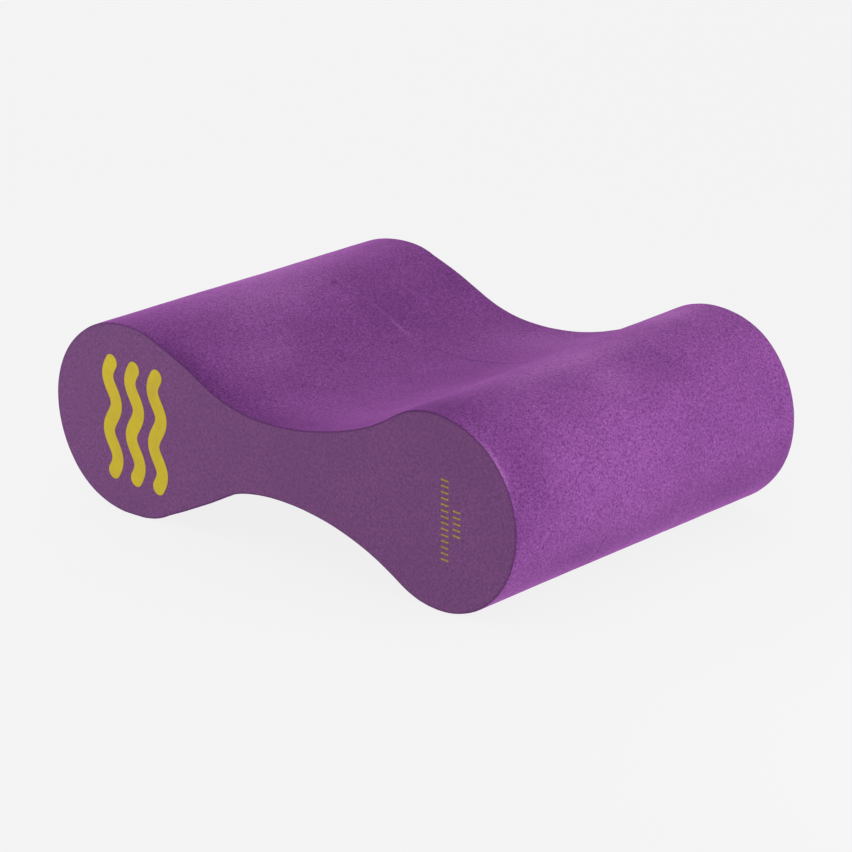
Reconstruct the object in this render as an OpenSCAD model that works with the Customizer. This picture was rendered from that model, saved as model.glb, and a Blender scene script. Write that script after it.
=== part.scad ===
// Pull buoy: an hourglass block of closed-cell EVA foam that a swimmer holds between the thighs.
// Three equal slabs of foam are glued face to face and then cut to one hourglass profile.
// X runs along the profile, Y across the slabs and +Z is up. The origin is on the ground,
// under the middle of the block, which lies on the undersides of its two round lobes.
// The printed end face looks along -Y.

/* [Foam block] */
// Overall length, from the tip of one lobe to the tip of the other
body_l = 240; // [200:1:280]
// Width of the block, along which the profile runs unchanged
body_w = 150; // [120:1:180]
// Diameter of each round lobe, which is also the height of the block
lobe_d = 76; // [68:1:90]
// Thickness of the waist, between the two thigh saddles
waist_t = 29; // [20:1:44]

/* [Glue lines] */
// Thickness of each glue film between two slabs
glue_t = 0.3; // [0.2:0.1:0.6]
// Depth by which each glue film stays below the cut surface of the foam
glue_recess = 0.2; // [0.1:0.1:0.5]

/* [Wave emblem] */
// Thickness of the printed ink, which lies flush in the end face
ink_t = 0.2; // [0.1:0.1:0.4]
// Number of wavy bands, side by side
band_count = 3; // [1:1:3]
// Width of each wavy band
band_w = 6.5; // [3:0.5:7]
// Distance from one wavy band to the next
band_pitch = 12.5; // [9:0.5:13]
// Number of bends along each wavy band
bend_count = 4; // [2:1:4]
// Length of one bend, measured straight along the band
bend_l = 11; // [9:0.5:11.5]
// Sideways swing of one bend from the band's middle line
bend_rise = 2.2; // [1:0.2:2.4]
// Distance from the centre of the left lobe to the middle of the emblem, towards the waist
emblem_shift = 6.5; // [0:0.5:7]
// Distance from the middle of the lobe down to the middle of the emblem
emblem_drop = 1; // [0:0.5:2]
// Angle by which the print, stamped by hand, leans towards +X
print_lean = 3; // [0:0.5:4]

/* [Batch ticks] */
// Number of ticks in the long row
long_row_ticks = 14; // [8:1:16]
// Number of ticks in the short row
short_row_ticks = 5; // [2:1:8]
// Distance from one tick to the next
tick_pitch = 2.3; // [1.8:0.1:2.4]
// Length of each tick, across its row
tick_l = 3.8; // [2:0.2:4]
// Thickness of each tick, along its row
tick_t = 1; // [0.6:0.1:1.2]
// Distance from one row to the other
row_pitch = 5.6; // [4.6:0.2:6.6]
// Distance from the centre of the right lobe to the long row, towards the tip
long_row_shift = 4; // [0:1:6]
// Distance from the middle of the lobe down to the middle of both rows
row_drop = 3; // [0:1:5]

/* [Hidden] */
$fn = 96;

// Profile: two lobe circles joined by concave arcs that touch both of them.
lobe_r = lobe_d / 2;
waist_r = waist_t / 2;
lobe_x = body_l / 2 - lobe_r;
saddle_r = (lobe_x * lobe_x + waist_r * waist_r - lobe_r * lobe_r) / (2 * (lobe_r - waist_r));
saddle_z = waist_r + saddle_r;

// Slabs: equal thirds of the width, with a glue film in each of the two gaps.
slab_w = (body_w - 2 * glue_t) / 3;
slab_pitch = slab_w + glue_t;
front_y = -body_w / 2;

// Straight steps along one bend of a wavy band, and around the round cap at each of its ends.
bend_steps = 10;
cap_steps = 10;
band_l = bend_count * bend_l;

// Cutters run this far past the surface that they cut.
overcut = 1;

// Stands a flat shape upright and gives it a thickness of w, from y0 towards +Y.
module upright(y0, w) {
    translate([0, y0 + w, lobe_r])
        rotate([90, 0, 0])
            linear_extrude(height = w)
                children();
}

// The part of the profile between the lobes. Its straight edges run from the lobe centres to
// the saddle centres, so they cross the outline exactly where lobe and saddle touch.
module waist_outline(inset) {
    difference() {
        polygon([[-lobe_x, 0], [0, -saddle_z], [lobe_x, 0], [0, saddle_z]]);
        for (side = [-1, 1])
            translate([0, side * saddle_z])
                circle(r = saddle_r + inset);
    }
}

// The hourglass profile, drawn smaller by inset all round.
module profile(inset = 0) {
    union() {
        for (side = [-1, 1])
            translate([side * lobe_x, 0])
                circle(r = lobe_r - inset);
        waist_outline(inset);
    }
}

// How far the middle line of a wavy band swings sideways at height y, and its slope there.
function swing(y) = bend_rise * sin(180 * y / bend_l);
function slope(y) = bend_rise * PI / bend_l * cos(180 * y / bend_l);

// The point of the middle line at height y, and the one beside it on the right or left edge.
function middle(y) = [swing(y), y];
function edge(y, side) = middle(y) + side * band_w / 2 * [1, -slope(y)] / sqrt(1 + pow(slope(y), 2));

// The points of a round cap, clockwise from the edge that lies in the direction start.
function cap(centre, start) = [
    for (i = [1 : cap_steps - 1])
        let (angle = start - i * 180 / cap_steps)
            centre + band_w / 2 * [cos(angle), sin(angle)]
];

// A wavy band of constant width with round ends, centred on the X axis.
module wavy_band() {
    steps = bend_count * bend_steps;
    left = [for (i = [0 : steps]) edge(i * band_l / steps, -1)];
    right = [for (i = [steps : -1 : 0]) edge(i * band_l / steps, 1)];
    top_cap = cap(middle(band_l), atan2(slope(band_l), -1));
    bottom_cap = cap(middle(0), atan2(-slope(0), 1));
    translate([0, -band_l / 2])
        polygon(concat(left, top_cap, right, bottom_cap));
}

// All the wavy bands, side by side on the left lobe.
module emblem_outline() {
    translate([-lobe_x + emblem_shift, -emblem_drop])
        rotate(-print_lean)
            for (i = [0 : band_count - 1])
                translate([(i - (band_count - 1) / 2) * band_pitch, 0])
                    wavy_band();
}

// A row of equal ticks, one above the other.
module tick_row(count) {
    for (i = [0 : count - 1])
        translate([0, (i - (count - 1) / 2) * tick_pitch])
            square([tick_l, tick_t], center = true);
}

// Both rows of ticks, on the right lobe.
module ticks_outline() {
    translate([lobe_x + long_row_shift, -row_drop])
        rotate(-print_lean) {
            tick_row(long_row_ticks);
            translate([row_pitch, 0])
                tick_row(short_row_ticks);
        }
}

// The slab with the printed end face. The ink lies in pockets as deep as the ink is thick.
module front_slab() {
    color("#7b4488")
        difference() {
            upright(front_y, slab_w)
                profile();
            upright(front_y - overcut, ink_t + overcut)
                emblem_outline();
            upright(front_y - overcut, ink_t + overcut)
                ticks_outline();
        }
}

// The slab in the middle of the block.
module middle_slab() {
    color("#8a4d9a")
        upright(front_y + slab_pitch, slab_w)
            profile();
}

// The slab with the plain end face.
module rear_slab() {
    color("#8a4d9a")
        upright(front_y + 2 * slab_pitch, slab_w)
            profile();
}

// The glue film behind the front slab.
module front_glue_line() {
    color("#a06cb0")
        upright(front_y + slab_w, glue_t)
            profile(glue_recess);
}

// The glue film in front of the rear slab.
module rear_glue_line() {
    color("#a06cb0")
        upright(front_y + slab_pitch + slab_w, glue_t)
            profile(glue_recess);
}

// The printed emblem of wavy bands.
module wave_emblem() {
    color("#c2b02a")
        upright(front_y, ink_t)
            emblem_outline();
}

// The printed batch marks, two rows of plain ticks.
module batch_ticks() {
    color("#b5a03c")
        upright(front_y, ink_t)
            ticks_outline();
}

front_slab();
middle_slab();
rear_slab();
front_glue_line();
rear_glue_line();
wave_emblem();
batch_ticks();
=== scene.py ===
import math

import bmesh
import bpy
from mathutils import Matrix, Vector, noise


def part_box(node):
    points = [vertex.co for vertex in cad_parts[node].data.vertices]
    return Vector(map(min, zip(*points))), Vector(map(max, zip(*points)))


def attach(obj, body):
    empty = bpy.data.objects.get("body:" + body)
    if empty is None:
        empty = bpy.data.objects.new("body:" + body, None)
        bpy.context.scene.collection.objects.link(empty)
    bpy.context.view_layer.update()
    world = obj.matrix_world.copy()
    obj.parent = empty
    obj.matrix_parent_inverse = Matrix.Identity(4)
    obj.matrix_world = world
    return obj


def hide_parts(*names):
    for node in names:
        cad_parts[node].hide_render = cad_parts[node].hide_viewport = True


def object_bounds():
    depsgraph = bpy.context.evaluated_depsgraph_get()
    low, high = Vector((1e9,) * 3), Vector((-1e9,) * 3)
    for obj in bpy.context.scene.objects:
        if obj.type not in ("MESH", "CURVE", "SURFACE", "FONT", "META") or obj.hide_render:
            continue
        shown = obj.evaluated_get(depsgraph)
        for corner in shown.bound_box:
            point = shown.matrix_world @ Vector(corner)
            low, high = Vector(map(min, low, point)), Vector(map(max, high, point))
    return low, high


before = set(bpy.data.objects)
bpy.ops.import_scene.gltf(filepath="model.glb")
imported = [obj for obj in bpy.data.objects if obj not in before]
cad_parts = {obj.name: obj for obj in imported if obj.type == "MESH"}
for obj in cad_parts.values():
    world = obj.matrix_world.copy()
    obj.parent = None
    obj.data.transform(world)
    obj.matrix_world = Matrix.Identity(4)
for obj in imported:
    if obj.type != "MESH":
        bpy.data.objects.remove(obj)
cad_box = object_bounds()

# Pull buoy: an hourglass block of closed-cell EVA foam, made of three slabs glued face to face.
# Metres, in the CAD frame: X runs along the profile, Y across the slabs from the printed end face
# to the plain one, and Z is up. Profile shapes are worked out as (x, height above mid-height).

MM = 0.001

# ---- Driving dimensions ----
WAIST_T = 29 * MM            # thickness of the waist, which no node's box shows
EDGE_R = 0.6 * MM            # rounding between an end face and the long surface
FRONT_DARK_RIM = 0.35 * EDGE_R   # how far the darker rim along the edge of the printed end face reaches back
REAR_DARK_RIM = EDGE_R           # the same for the plain end face
BOND_R = 0.10 * MM           # rounding of each slab at a bond line
STEP = 0.8 * MM              # spacing of the mesh, round the profile and across the slabs
FACE_DROP = 0.06 * MM        # how far the foam's end face lies behind the printed ink
GLUE_RECESS = 0.05 * MM      # how far each glue film stays below the cut foam

# The block is cut by hand, so it is fuller or slimmer than nominal here and there, and its plain end
# face is a little out of square. Each swell is a place along X and a half width, then a height on the
# upper side and one on the underside, both as (at the printed face, at the plain face). All in mm.
SWELLS = [(-108, 14, (-0.6, 0.0), (0.9, 0.0)),
          (-90, 28, (-0.5, -1.7), (0.0, 0.0)),
          (-50, 20, (4.4, 4.0), (4.4, 3.1)),
          (-34, 9, (0.0, 0.0), (1.0, 0.0)),
          (56, 20, (-1.3, 0.2), (0.0, 0.0)),
          (90, 28, (-2.1, 0.0), (0.0, 0.0)),
          (108, 14, (0.0, 1.1), (0.0, -0.7))]
PLAIN_FACE_SKEW = math.radians(1.0)

# Relief of the long surface: (size of the bumps, height from hollow to crest).
SANDED = [(2.2 * MM, 0.06 * MM), (9 * MM, 0.12 * MM), (45 * MM, 0.30 * MM)]

# Soft darker or paler patches: partly the sanded nap, which lies in different directions, and partly
# painted shade (under the left lobe, along the lower right side) and painted highlight (along the tops
# of the lobes, at the right edge of the printed face). Each is (x, y, height up the block, reach round
# the profile, reach across the slabs, share): in mm, but for the share, which is that of paler foam or,
# below 0, of darker foam.
DARK_NAP_AND_SHADE_PATCHES = [(-50, -75, 68, 24, 8, -0.50), (-45, -70, 12, 30, 16, -0.70),
                (-46, 70, 66, 20, 16, -0.24), (-42, 25, 64, 20, 22, -0.20),
                (8, -75, 54, 45, 13, -0.50), (20, 14, 53, 16, 22, -0.12),
                (50, -70, 66, 18, 16, -0.28), (66, -70, 73, 14, 16, -0.52),
                (84, -70, 76, 20, 15, -0.42), (104, 26, 68, 9, 16, -0.14),
                (110, -24, 12, 11, 30, -0.30), (112, -66, 62, 14, 12, -0.20),
                (114, 48, 16, 14, 26, -0.34), (117, 26, 50, 11, 12, -0.24),
                (119, -62, 46, 14, 13, -0.30), (119, 70, 45, 16, 8, -0.14),
                (120, -75, 40, 14, 5, -0.28)]
PALE_NAP_AND_HIGHLIGHT_PATCHES = [(-90, 10, 74, 16, 42, 0.34), (-66, -10, 75, 14, 34, 0.22),
                (-38, -40, 62, 11, 22, 0.14), (22, 56, 55, 30, 15, 0.20),
                (26, -52, 55, 22, 10, 0.06), (74, 56, 76, 9, 18, 0.40),
                (82, -2, 76, 8, 32, 0.38), (100, 0, 70, 8, 10, 0.18),
                (113, -75, 62, 14, 2, 0.60)]
BOND_STREAKS = [(-34, 25, 60, 11, 1, 0.42), (4, 25, 53, 20, 1, -0.40)]
NICK = (-62, 20, 73, 1.2, 1.2, -0.70)
# All tone marks together: the nap, bond streaks and the nick, with the painted shade and painted highlight
# among the patches.
NAP_AND_PAINTED_LIGHT = [*DARK_NAP_AND_SHADE_PATCHES, *PALE_NAP_AND_HIGHLIGHT_PATCHES, *BOND_STREAKS, NICK]

# Each bond line is a groove, deepest near one spot and faint elsewhere.
GROOVE_W = 0.8 * MM          # half width
GROOVE_DEPTH = 0.12 * MM     # depth at the spot
GROOVE_FAINT = 0.15          # share of that depth far away from the spot
GROOVE_SPOTS = [(112 * MM, 14 * MM), (-4 * MM, 38 * MM)]  # place along X and half length

# Emblem of wavy bands, and the two rows of ticks, both as in the CAD model.
BAND_COUNT = 3
BAND_W = 6.5 * MM
BAND_PITCH = 12.5 * MM
BEND_COUNT = 4
BEND_L = 11 * MM
BEND_RISE = 2.2 * MM
ROW_TICKS = (14, 5)
ROW_PITCH = 5.6 * MM
ROW_DROP = 3 * MM            # from mid-height down to the middle of the long row
LONG_ROW_SHIFT = 4 * MM      # from the lobe's centre to the long row, towards the tip
TICK_PITCH = 2.3 * MM
TICK_L = 3.8 * MM
TICK_T = 1.0 * MM
CORNER_R = 0.2 * TICK_T      # rounding of each tick's corners
PRINT_LEAN = math.radians(3)  # the print is stamped by hand, and leans towards +X
INK_ROOT = 0.2 * MM          # how deep the ink reaches below its own face
INK_BEVEL = 0.03 * MM
INK_RIM = 0.3 * MM           # width of the thin, brownish rim where the foam shows through

# How finely the small roundings are drawn, and a slab's two materials by their index.
ROUND_STEPS = 5              # along a slab's rounded edge
BEND_STEPS = 14              # along each bend of a wavy band
CAP_STEPS = 7                # along half of a wavy band's round end
CORNER_STEPS = 3             # round a tick's corner
LONG_SURFACE, END_FACE = 0, 1

# ---- Sizes from the frame ----
BOX_LOW, BOX_HIGH = cad_box
MID_Z = (BOX_LOW.z + BOX_HIGH.z) / 2
LOBE_R = (BOX_HIGH.z - BOX_LOW.z) / 2
LOBE_X = (BOX_HIGH.x - BOX_LOW.x) / 2 - LOBE_R
WAIST_R = WAIST_T / 2
SADDLE_R = (LOBE_X ** 2 + WAIST_R ** 2 - LOBE_R ** 2) / (2 * (LOBE_R - WAIST_R))
SADDLE_Z = WAIST_R + SADDLE_R
FRONT_Y = BOX_LOW.y
REAR_Y = BOX_HIGH.y
BOND_Y = [sum(corner.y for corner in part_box(name)) / 2 for name in ("front_glue_line", "rear_glue_line")]


# ---- Profile ----
def quarter_profile():
    """(x, z, normal) from the left tip over the lobe to the middle of the upper saddle."""
    touch = math.atan2(SADDLE_Z, LOBE_X)
    lobe_steps = round((math.pi - touch) * LOBE_R / STEP)
    saddle_steps = round((math.pi / 2 - touch) * SADDLE_R / STEP)
    points = []
    for i in range(lobe_steps):
        angle = math.pi + (touch - math.pi) * i / lobe_steps
        normal = Vector((math.cos(angle), math.sin(angle)))
        points.append((Vector((-LOBE_X, 0)) + LOBE_R * normal, normal))
    for i in range(saddle_steps + 1):
        angle = touch + (math.pi / 2 - touch) * i / saddle_steps
        normal = Vector((math.cos(angle), math.sin(angle)))
        points.append((Vector((0, SADDLE_Z)) - SADDLE_R * normal, normal))
    return points


def whole_profile():
    """The closed profile from the left tip over the top; its second half mirrors its first."""
    left = quarter_profile()
    right = [(Vector((-p.x, p.y)), Vector((-n.x, n.y))) for p, n in reversed(left[:-1])]
    top = left + right
    bottom = [(Vector((p.x, -p.y)), Vector((n.x, -n.y))) for p, n in reversed(top[1:-1])]
    return top + bottom


PROFILE = whole_profile()


def swell(point, normal):
    """How far the cut surface stands out beyond the nominal one at a point in space."""
    across = (point.y - FRONT_Y) / (REAR_Y - FRONT_Y)
    out = 0.0
    for place, width, above, below in SWELLS:
        front, rear = above if normal.y > 0 else below
        height = (front + (rear - front) * across) * abs(normal.y)
        out += height * MM * math.exp(-((point.x / MM - place) / width) ** 2)
    return out


def relief(point):
    """How far the sanded surface and its bond lines lie below the nominal one at a point in space."""
    depth = sum(height / 2 * noise.noise(point / size) for size, height in SANDED)
    for y, (spot, half_length) in zip(BOND_Y, GROOVE_SPOTS):
        share = GROOVE_FAINT + (1 - GROOVE_FAINT) * math.exp(-((point.x - spot) / half_length) ** 2)
        depth += GROOVE_DEPTH * share * math.exp(-((point.y - y) / GROOVE_W) ** 2)
    return depth


def nap_and_painted_light_tone(point):
    """Share of paler foam, or below 0 of darker foam, at a point in space; it holds the nap and also
    painted shade and painted highlight.
    """
    tone = 0.0
    for x, y, z, reach_round, reach_across, share in NAP_AND_PAINTED_LIGHT:
        gap = point / MM - Vector((x, y, z))
        distance = (gap.x ** 2 + gap.z ** 2) / reach_round ** 2 + gap.y ** 2 / reach_across ** 2
        tone += share * math.exp(-distance)
    return tone


def surface_ring(y, inset):
    """A ring of points on the cut surface at one place across the slabs, drawn in by inset."""
    ring = []
    for place, normal in PROFILE:
        nominal = Vector((place.x, y, place.y))
        out = swell(nominal, normal) - inset - relief(nominal)
        ring.append(Vector((place.x + out * normal.x, y, place.y + out * normal.y)))
    return ring


# Where the rings of an end face lie, as shares of the way out from the line between the lobe centres.
FACE_SHARES = (0.06, 0.22, 0.38, 0.54, 0.68, 0.80, 0.89, 0.95, 0.985)


def face_ring(ring, share):
    """A ring inside an end face: each point moved towards the line between the lobe centres."""
    inner = []
    for point in ring:
        core = Vector((min(max(point.x, -LOBE_X), LOBE_X), point.y, 0))
        inner.append(core + (point - core) * share)
    return inner


# ---- Mesh building ----
def ladder(verts):
    """The corner lists that close a loop of vertices whose second half mirrors its first."""
    count = len(verts)
    rungs = []
    for i in range(count // 2):
        corners = (verts[i], verts[i + 1], verts[count - i - 1], verts[(count - i) % count])
        rungs.append(list(dict.fromkeys(corners)))
    return rungs


def loft(name, rings, materials, skins=None, dark_rim=None, tone=None):
    """A closed mesh through rings of equal count, listed from -Y to +Y.

    skins gives the material index of each strip between two rings, dark_rim a value per ring (1 where
    the colour is darker along a rim), and tone is a function that gives a value per point. The materials
    read dark_rim and tone as attributes.
    """
    mesh = bmesh.new()
    dark_rim_layer = mesh.verts.layers.float.new("dark_rim")
    tone_layer = mesh.verts.layers.float.new("tone")
    loops = []
    for index, ring in enumerate(rings):
        loop = [mesh.verts.new(point) for point in ring]
        for vert in loop:
            vert[dark_rim_layer] = dark_rim[index] if dark_rim else 0.0
            vert[tone_layer] = tone(vert.co) if tone else 0.0
        loops.append(loop)
    skins = skins or [0] * (len(rings) - 1)
    for skin, (near, far) in zip(skins, zip(loops, loops[1:])):
        for i in range(len(near)):
            j = (i + 1) % len(near)
            mesh.faces.new((near[i], near[j], far[j], far[i])).material_index = skin
    for loop, skin in ((loops[0], skins[0]), (loops[-1], skins[-1])):
        for corners in ladder(loop):
            mesh.faces.new(corners).material_index = skin
    bmesh.ops.recalc_face_normals(mesh, faces=mesh.faces)
    for face in mesh.faces:
        face.smooth = True
    data = bpy.data.meshes.new(name)
    mesh.to_mesh(data)
    mesh.free()
    for material in materials:
        data.materials.append(material)
    piece = bpy.data.objects.new(name, data)
    bpy.context.scene.collection.objects.link(piece)
    return piece


def lifted(rings):
    """Rings drawn about mid-height, moved up to where the block stands."""
    return [[point + Vector((0, 0, MID_Z)) for point in ring] for ring in rings]


# ---- Foam slabs ----
def rounded_end(y, inward, radius):
    """Rings over a slab's rounded edge, from the flat face outwards; inward is +1 or -1 along Y."""
    rings = []
    for i in range(ROUND_STEPS):
        angle = math.pi / 2 * i / ROUND_STEPS
        depth = radius * (1 - math.cos(angle))
        inset = radius * (1 - math.sin(angle))
        rings.append(surface_ring(y + inward * depth, inset))
    return rings


def slab_rings(y_front, y_rear, front_r, rear_r):
    """All rings of one slab, from the middle of one flat face to the middle of the other."""
    front = rounded_end(y_front, 1, front_r)
    rear = rounded_end(y_rear, -1, rear_r)
    run = y_rear - rear_r - (y_front + front_r)
    steps = round(run / STEP)
    middle = [surface_ring(y_front + front_r + run * i / steps, 0) for i in range(steps + 1)]
    front_face = [face_ring(front[0], share) for share in FACE_SHARES]
    rear_face = [face_ring(rear[0], share) for share in reversed(FACE_SHARES)]
    return front_face + front + middle + rear[::-1] + rear_face


def dark_rim_rings(rings, y_face, width):
    """1 for each ring of a rounded outer edge within width of the end face, and 0 for the others."""
    values = []
    for index, ring in enumerate(rings):
        near_face = abs(ring[0].y - y_face) < width
        on_face = index < len(FACE_SHARES) or index >= len(rings) - len(FACE_SHARES)
        values.append(1.0 if near_face and not on_face else 0.0)
    return values


def skew_plain_face(rings, y_start, y_end):
    """Leans the plain end face a little; the lean grows along the rear slab."""
    lean = math.tan(PLAIN_FACE_SKEW)
    for ring in rings:
        for point in ring:
            share = (point.y - y_start) / (y_end - y_start)
            point.y += share * lean * (point.x + point.z)


def foam_slab(name, y_front, y_rear, outer_face, materials):
    """One slab. Where outer_face is "front" or "rear", that side is an end face of the block."""
    front_r = EDGE_R if outer_face == "front" else BOND_R
    rear_r = EDGE_R if outer_face == "rear" else BOND_R
    rings = slab_rings(y_front, y_rear, front_r, rear_r)
    flat = len(FACE_SHARES) + 1
    skins = [LONG_SURFACE] * (len(rings) - 1)
    dark_rim = None
    if outer_face == "front":
        skins[:flat] = [END_FACE] * flat
        dark_rim = dark_rim_rings(rings, y_front, FRONT_DARK_RIM)
    if outer_face == "rear":
        skins[-flat:] = [END_FACE] * flat
        dark_rim = dark_rim_rings(rings, y_rear, REAR_DARK_RIM)
        skew_plain_face(rings, y_front, y_rear)
    return loft(name, lifted(rings), materials, skins, dark_rim, nap_and_painted_light_tone)


# ---- Glue films ----
def glue_film(name, y_front, y_rear, materials):
    """One film of glue, which ends just below the cut foam."""
    rings = [surface_ring(y, GLUE_RECESS) for y in (y_front, (y_front + y_rear) / 2, y_rear)]
    front_face = [face_ring(rings[0], share) for share in FACE_SHARES]
    rear_face = [face_ring(rings[-1], share) for share in reversed(FACE_SHARES)]
    return loft(name, lifted(front_face + rings + rear_face), materials)


# ---- Print ----
def wave_edge(along, side):
    """A point on one edge of a wavy band at a height along it; side is -1 left or +1 right."""
    turn = math.pi / BEND_L
    swing = BEND_RISE * math.sin(turn * along)
    slope = BEND_RISE * turn * math.cos(turn * along)
    across = Vector((1, -slope)).normalized()
    return Vector((swing, along)) + across * side * BAND_W / 2


def wave_outline():
    """A wavy band with round ends, from the middle of its lower cap, up its left side and back."""
    steps = BEND_COUNT * BEND_STEPS
    length = BEND_COUNT * BEND_L
    left = [wave_edge(length * i / steps, -1) for i in range(steps + 1)]
    right = [wave_edge(length * i / steps, 1) for i in range(steps + 1)]

    def cap(start, end):
        centre = (start + end) / 2
        arm = start - centre
        points = []
        for i in range(1, 2 * CAP_STEPS):
            angle = -math.pi * i / (2 * CAP_STEPS)
            points.append(centre + Matrix.Rotation(angle, 2) @ arm)
        return points

    lower = cap(right[0], left[0])
    upper = cap(left[-1], right[-1])
    half = CAP_STEPS - 1
    return lower[half:] + left + upper + right[::-1] + lower[:half]


def tick_outline():
    """A tick with rounded corners, from the middle of its lower edge."""
    points = [Vector((0, -TICK_T / 2))]
    for number, (sx, sy) in enumerate([(-1, -1), (-1, 1), (1, 1), (1, -1)]):
        centre = Vector((sx * (TICK_L / 2 - CORNER_R), sy * (TICK_T / 2 - CORNER_R)))
        for i in range(CORNER_STEPS + 1):
            angle = -math.pi / 2 * (number + 1 + i / CORNER_STEPS)
            points.append(centre + CORNER_R * Vector((math.cos(angle), math.sin(angle))))
        if number == 1:
            points.append(Vector((0, TICK_T / 2)))
    return points


def leaning(point):
    """A point of a print, given from the middle of the print, turned as the stamped print is."""
    return Matrix.Rotation(-PRINT_LEAN, 2) @ point


def shrunk(outline, amount):
    """A clockwise outline drawn in by amount along its own normals."""
    inner = []
    for i, point in enumerate(outline):
        run = (outline[(i + 1) % len(outline)] - outline[i - 1]).normalized()
        inner.append(point + Vector((run.y, -run.x)) * amount)
    return inner


def ink_piece(name, outline, centre, y_face, materials):
    """A thin printed patch, worn at its rim. Its outline goes round centre, its place on the face."""
    rings = []
    for depth, inset in ((0, INK_RIM), (0, INK_BEVEL), (INK_BEVEL, 0), (INK_ROOT, 0)):
        edge = [centre + point for point in shrunk(outline, inset)]
        rings.append([Vector((point.x, y_face + depth, point.y)) for point in edge])
    return loft(name, rings, materials, dark_rim=[0.0, 1.0, 1.0, 1.0])


def join(name, pieces):
    """Joins patches of one print into one object."""
    mesh = bmesh.new()
    for piece in pieces:
        mesh.from_mesh(piece.data)
    data = pieces[0].data
    mesh.to_mesh(data)
    mesh.free()
    for piece in pieces[1:]:
        old = piece.data
        bpy.data.objects.remove(piece)
        bpy.data.meshes.remove(old)
    pieces[0].name = name
    return pieces[0]


def wave_emblem(name, materials):
    """All the wavy bands, side by side about the middle of the CAD emblem."""
    low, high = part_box("wave_emblem")
    middle = Vector(((low.x + high.x) / 2, (low.z + high.z) / 2))
    half_l = Vector((0, BEND_COUNT * BEND_L / 2))
    outline = [leaning(point - half_l) for point in wave_outline()]
    bands = []
    for i in range(BAND_COUNT):
        centre = middle + leaning(Vector(((i - (BAND_COUNT - 1) / 2) * BAND_PITCH, 0)))
        bands.append(ink_piece(f"{name}_{i}", outline, centre, low.y, materials))
    return join(name, bands)


def batch_ticks(name, materials):
    """Both rows of ticks, on the right lobe."""
    y_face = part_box("batch_ticks")[0].y
    middle = Vector((LOBE_X + LONG_ROW_SHIFT, MID_Z - ROW_DROP))
    outline = [leaning(point) for point in tick_outline()]
    ticks = []
    for row, count in enumerate(ROW_TICKS):
        for i in range(count):
            along = (i - (count - 1) / 2) * TICK_PITCH
            centre = middle + leaning(Vector((row * ROW_PITCH, along)))
            ticks.append(ink_piece(f"{name}_{len(ticks)}", outline, centre, y_face, materials))
    return join(name, ticks)


# ---- Materials ----
def srgb(red, green, blue):
    """A linear colour from sRGB values out of 255."""
    def linear(value):
        value /= 255
        return value / 12.92 if value <= 0.04045 else ((value + 0.055) / 1.055) ** 2.4
    return (linear(red), linear(green), linear(blue), 1.0)


class Nodes:
    """A material's node tree, with short calls for the few kinds of node used here."""

    def __init__(self, name):
        self.material = bpy.data.materials.new(name)
        self.material.use_nodes = True
        self.tree = self.material.node_tree
        self.shader = self.tree.nodes["Principled BSDF"]
        self.place = self.tree.nodes.new("ShaderNodeTexCoord").outputs["Object"]

    def link(self, value, socket):
        """Joins another node's output to the socket, or sets the socket to a plain value."""
        if isinstance(value, bpy.types.NodeSocket):
            self.tree.links.new(value, socket)
        else:
            socket.default_value = value

    def noise(self, size, detail=2.0, roughness=0.5, distortion=0.0):
        """Noise from 0 to 1 with bumps of about the given size."""
        node = self.tree.nodes.new("ShaderNodeTexNoise")
        node.inputs["Scale"].default_value = 1 / size
        node.inputs["Detail"].default_value = detail
        node.inputs["Roughness"].default_value = roughness
        node.inputs["Distortion"].default_value = distortion
        self.link(self.place, node.inputs["Vector"])
        return node.outputs["Fac"]

    def calculate(self, operation, first, second):
        """The result of one step of arithmetic; operation is as Blender's Math node names it."""
        node = self.tree.nodes.new("ShaderNodeMath")
        node.operation = operation
        self.link(first, node.inputs[0])
        self.link(second, node.inputs[1])
        return node.outputs["Value"]

    def spread(self, value, low, high, to_low=0.0, to_high=1.0):
        """value mapped from low...high to to_low...to_high, and clamped."""
        node = self.tree.nodes.new("ShaderNodeMapRange")
        limits = {"From Min": low, "From Max": high, "To Min": to_low, "To Max": to_high}
        for name, limit in limits.items():
            node.inputs[name].default_value = limit
        self.link(value, node.inputs["Value"])
        return node.outputs["Result"]

    def mix(self, share, first, second):
        """The second colour over the first by share."""
        node = self.tree.nodes.new("ShaderNodeMix")
        node.data_type = "RGBA"
        self.link(share, node.inputs["Factor"])
        self.link(first, node.inputs["A"])
        self.link(second, node.inputs["B"])
        return node.outputs["Result"]

    def attribute(self, name):
        """A value that loft wrote on the mesh, "dark_rim" or "tone"."""
        node = self.tree.nodes.new("ShaderNodeAttribute")
        node.attribute_name = name
        return node.outputs["Fac"]

    def bump(self, height, depth, strength, under=None):
        """Small relief of the given depth, over the relief in under if there is one."""
        node = self.tree.nodes.new("ShaderNodeBump")
        node.inputs["Strength"].default_value = strength
        node.inputs["Distance"].default_value = depth
        self.link(height, node.inputs["Height"])
        if under:
            self.link(under, node.inputs["Normal"])
        return node.outputs["Normal"]

    def set(self, **inputs):
        """Shader inputs by name, with _ for a space."""
        for name, value in inputs.items():
            self.link(value, self.shader.inputs[name.replace("_", " ")])


# Darker foam along the rounded edges of the end faces.
DARK_RIM_FOAM = srgb(84, 46, 92)
INK_OVER_FOAM = srgb(116, 84, 72)


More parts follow.
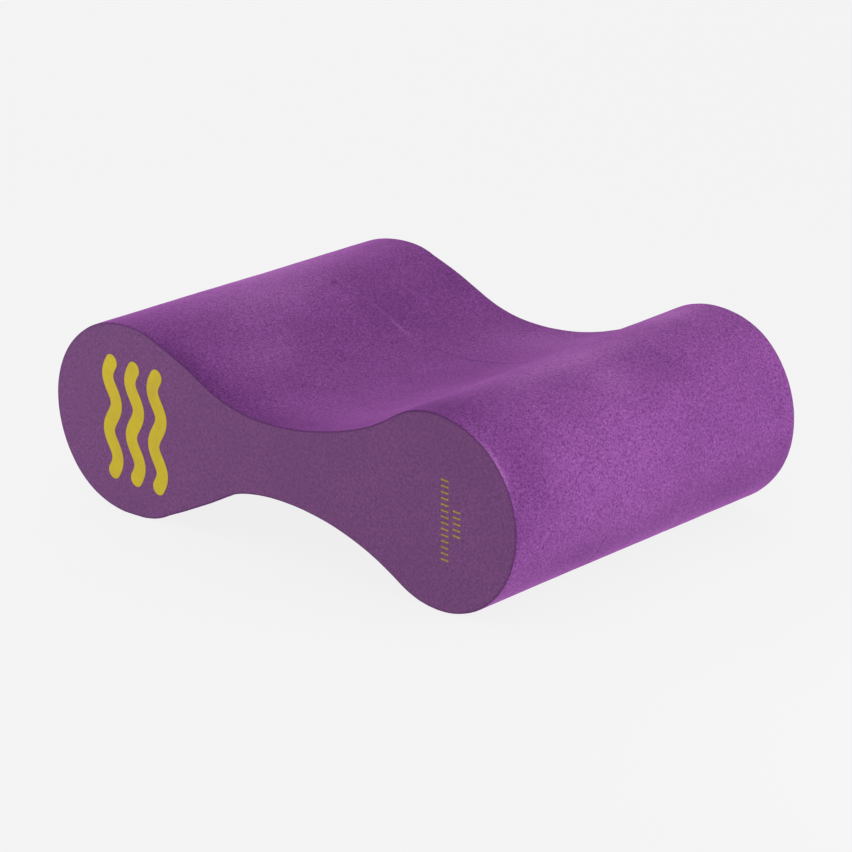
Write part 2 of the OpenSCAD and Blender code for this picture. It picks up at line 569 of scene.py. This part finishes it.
def skived_foam():
    """The long surface: cut with a blade and sanded, so it is bright, dry and finely mottled.

    The grain runs between a hollow and a crest colour, and both follow the tone patches: the lie of the
    nap, and painted shade and painted highlight.
    """
    nodes = Nodes("skived_foam")
    grain = nodes.noise(0.8 * MM, detail=3, roughness=0.7, distortion=0.5)
    fleck = nodes.noise(0.5 * MM, detail=2, roughness=0.6)
    cloud = nodes.noise(22 * MM, detail=3, roughness=0.55)
    tone = nodes.attribute("tone")
    darker = nodes.calculate("MAXIMUM", nodes.calculate("MULTIPLY", tone, -1.0), 0.0)
    paler = nodes.calculate("MAXIMUM", tone, 0.0)

    def nap_and_light_toned(plain, dark, pale):
        return nodes.mix(paler, nodes.mix(darker, plain, dark), pale)

    # The dark and pale colours carry the tone patches: darker or paler nap, and painted shade and painted
    # highlight.
    hollow = nap_and_light_toned(srgb(99, 48, 110), dark=srgb(62, 20, 76), pale=srgb(158, 96, 168))
    crest = nap_and_light_toned(srgb(155, 90, 165), dark=srgb(104, 48, 120), pale=srgb(208, 148, 214))
    mottle = nodes.mix(nodes.spread(grain, 0.34, 0.66), hollow, crest)
    clouded = nodes.mix(nodes.spread(cloud, 0.35, 0.65, 0.0, 0.25), mottle, hollow)
    # Darker along the rounded edges next to the end faces.
    darker_share = nodes.calculate("MULTIPLY", nodes.attribute("dark_rim"), 0.75)
    colour = nodes.mix(darker_share, clouded, DARK_RIM_FOAM)
    rough = nodes.spread(fleck, 0.3, 0.7, 0.72, 0.92)
    pores = nodes.bump(fleck, 0.12 * MM, 0.5)
    nodes.set(Base_Color=colour, Roughness=rough, Normal=nodes.bump(grain, 0.12 * MM, 0.6, pores))
    nodes.set(Sheen_Weight=0.4, Sheen_Roughness=0.3, Sheen_Tint=srgb(226, 128, 236))
    nodes.set(Specular_IOR_Level=0.06)
    return nodes.material


def knife_cut_foam():
    """The end faces: cut with a knife, smoother, greyer and darker than the sanded surface."""
    nodes = Nodes("knife_cut_foam")
    grain = nodes.noise(1.1 * MM, detail=3, roughness=0.7)
    cloud = nodes.noise(30 * MM, detail=2)
    mottle = nodes.mix(nodes.spread(grain, 0.34, 0.66), srgb(95, 54, 99), srgb(130, 77, 135))
    clouded = nodes.mix(nodes.spread(cloud, 0.35, 0.65, 0.0, 0.3), mottle, srgb(104, 60, 108))
    # Darker along the rounded edge of the end face.
    darker_share = nodes.calculate("MULTIPLY", nodes.attribute("dark_rim"), 0.5)
    colour = nodes.mix(darker_share, clouded, DARK_RIM_FOAM)
    rough = nodes.spread(grain, 0.3, 0.7, 0.62, 0.78)
    nodes.set(Base_Color=colour, Roughness=rough, Normal=nodes.bump(grain, 0.1 * MM, 0.5))
    nodes.set(Sheen_Weight=0.05, Sheen_Roughness=0.5, Sheen_Tint=srgb(235, 215, 240))
    nodes.set(Specular_IOR_Level=0.2)
    return nodes.material


def dried_glue():
    """The film of contact adhesive that shows in each bond line."""
    nodes = Nodes("dried_glue")
    lumps = nodes.noise(2.5 * MM, detail=3)
    colour = nodes.mix(nodes.spread(lumps, 0.35, 0.65), srgb(104, 52, 116), srgb(140, 80, 150))
    rough = nodes.spread(lumps, 0.3, 0.7, 0.45, 0.65)
    nodes.set(Base_Color=colour, Roughness=rough, Normal=nodes.bump(lumps, 0.1 * MM, 0.5))
    return nodes.material


def printed_ink(name, ink, thin):
    """Matt ink with the foam's grain in it, and a thin rim where the foam shows through."""
    nodes = Nodes(name)
    grain = nodes.noise(0.8 * MM, detail=3, roughness=0.6)
    patch = nodes.noise(6 * MM, detail=2)
    darker_share = nodes.spread(grain, 0.58, 0.75, 0.0, 0.5)
    inked = nodes.mix(darker_share, ink, thin)
    clouded = nodes.mix(nodes.spread(patch, 0.3, 0.7, 0.0, 0.25), inked, thin)
    rim = nodes.calculate("MULTIPLY", nodes.attribute("dark_rim"), 0.8)
    colour = nodes.mix(rim, clouded, INK_OVER_FOAM)
    rough = nodes.spread(grain, 0.3, 0.7, 0.5, 0.7)
    nodes.set(Base_Color=colour, Roughness=rough, Normal=nodes.bump(grain, 0.08 * MM, 0.5))
    nodes.set(Specular_IOR_Level=0.35)
    return nodes.material


# ---- Studio ----
def pale_floor():
    """A wide sheet of paper that glows a little, so that it stays as pale as the background."""
    reach = 8.0
    glow = 0.85
    corners = [(-reach, -reach, 0), (reach, -reach, 0), (reach, reach, 0), (-reach, reach, 0)]
    data = bpy.data.meshes.new("floor")
    data.from_pydata(corners, [], [(0, 1, 2, 3)])
    floor = bpy.data.objects.new("floor", data)
    bpy.context.scene.collection.objects.link(floor)
    nodes = Nodes("floor_paper")
    nodes.set(Base_Color=(0.06, 0.06, 0.06, 1.0), Roughness=1.0, Specular_IOR_Level=0.0)
    nodes.set(Emission_Color=(1.0, 1.0, 1.0, 1.0), Emission_Strength=glow)
    data.materials.append(nodes.material)


def soft_light(name, azimuth, elevation, distance, size, watts, colour=(1.0, 1.0, 1.0)):
    """A square area light that faces the middle of the block.

    Azimuth and elevation are in degrees, and azimuth is anticlockwise from +X.
    """
    light = bpy.data.lights.new(name, "AREA")
    light.shape = "SQUARE"
    light.size = size
    light.energy = watts
    light.color = colour
    turn = math.radians(azimuth)
    lift = math.radians(elevation)
    away = Vector((math.cos(turn) * math.cos(lift), math.sin(turn) * math.cos(lift), math.sin(lift)))
    lamp = bpy.data.objects.new(name, light)
    lamp.location = Vector((0, 0, MID_Z)) + away * distance
    lamp.rotation_euler = away.to_track_quat("Z", "Y").to_euler()
    lamp.visible_camera = False
    bpy.context.scene.collection.objects.link(lamp)


def studio():
    """Pale floor, soft light from all round, and three soft lights that shape the block.

    The light is a little tinted: pink from all round, and green from the right.
    """
    pale_floor()
    world = bpy.data.worlds.new("studio")
    world.use_nodes = True
    background = world.node_tree.nodes["Background"]
    background.inputs["Color"].default_value = (1.0, 0.93, 0.99, 1.0)
    background.inputs["Strength"].default_value = 0.72
    bpy.context.scene.world = world
    soft_light("right_key", azimuth=5, elevation=16, distance=0.46, size=0.25, watts=0.88,
               colour=(0.95, 1.0, 0.94))
    soft_light("back_left", azimuth=150, elevation=35, distance=1.6, size=0.9, watts=2)
    soft_light("front_left", azimuth=208, elevation=16, distance=0.42, size=0.25, watts=0.38)
    bpy.context.scene.view_settings.view_transform = "Standard"


def camera():
    """The photograph's view: a long lens, 45 degrees round and slightly above, with a small roll.

    Azimuth is measured from straight in front of the printed end face towards +X.
    """
    azimuth = math.radians(44.65)
    elevation = math.radians(18.54)
    roll = math.radians(-2.27)
    distance = 1.4025
    lens = 157.1
    aim_right = 3.5 * MM
    aim_down = 5.75 * MM
    back = Vector((math.sin(azimuth) * math.cos(elevation), -math.cos(azimuth) * math.cos(elevation),
                   math.sin(elevation)))
    level = Vector((math.cos(azimuth), math.sin(azimuth), 0))
    upright = back.cross(level)
    right = level * math.cos(roll) + upright * math.sin(roll)
    up = back.cross(right)
    aim = Vector((0, 0, MID_Z)) + right * aim_right - up * aim_down
    data = bpy.data.cameras.new("camera")
    data.lens = lens
    eye = bpy.data.objects.new("camera", data)
    turn = Matrix((right, up, back)).transposed().to_4x4()
    eye.matrix_world = Matrix.Translation(aim + back * distance) @ turn
    bpy.context.scene.collection.objects.link(eye)
    bpy.context.scene.camera = eye


# ---- The block ----
def fit(piece, node):
    """Rides a piece on the one body, and hides the CAD node it stands for."""
    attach(piece, "root")
    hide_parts(node)


def build_slabs():
    """The three slabs. Their materials are in the order of LONG_SURFACE and END_FACE."""
    skins = [skived_foam(), knife_cut_foam()]
    for side in ("front", "middle", "rear"):
        low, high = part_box(f"{side}_slab")
        y_front = low.y + FACE_DROP if side == "front" else low.y
        slab = foam_slab(f"{side}_foam", y_front, high.y, side, skins)
        fit(slab, f"{side}_slab")


def build_glue():
    """The two glue films, one in each gap between the slabs."""
    glue = [dried_glue()]
    for side in ("front", "rear"):
        low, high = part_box(f"{side}_glue_line")
        fit(glue_film(f"{side}_glue", low.y, high.y, glue), f"{side}_glue_line")


def build_print():
    """The emblem and the batch ticks, each in its own ink."""
    emblem_ink = printed_ink("emblem_ink", srgb(204, 184, 6), srgb(168, 136, 50))
    batch_ink = printed_ink("batch_ink", srgb(186, 150, 82), srgb(142, 106, 92))
    fit(wave_emblem("wave_print", [emblem_ink]), "wave_emblem")
    fit(batch_ticks("tick_print", [batch_ink]), "batch_ticks")


camera()
studio()
build_slabs()
build_glue()
build_print()
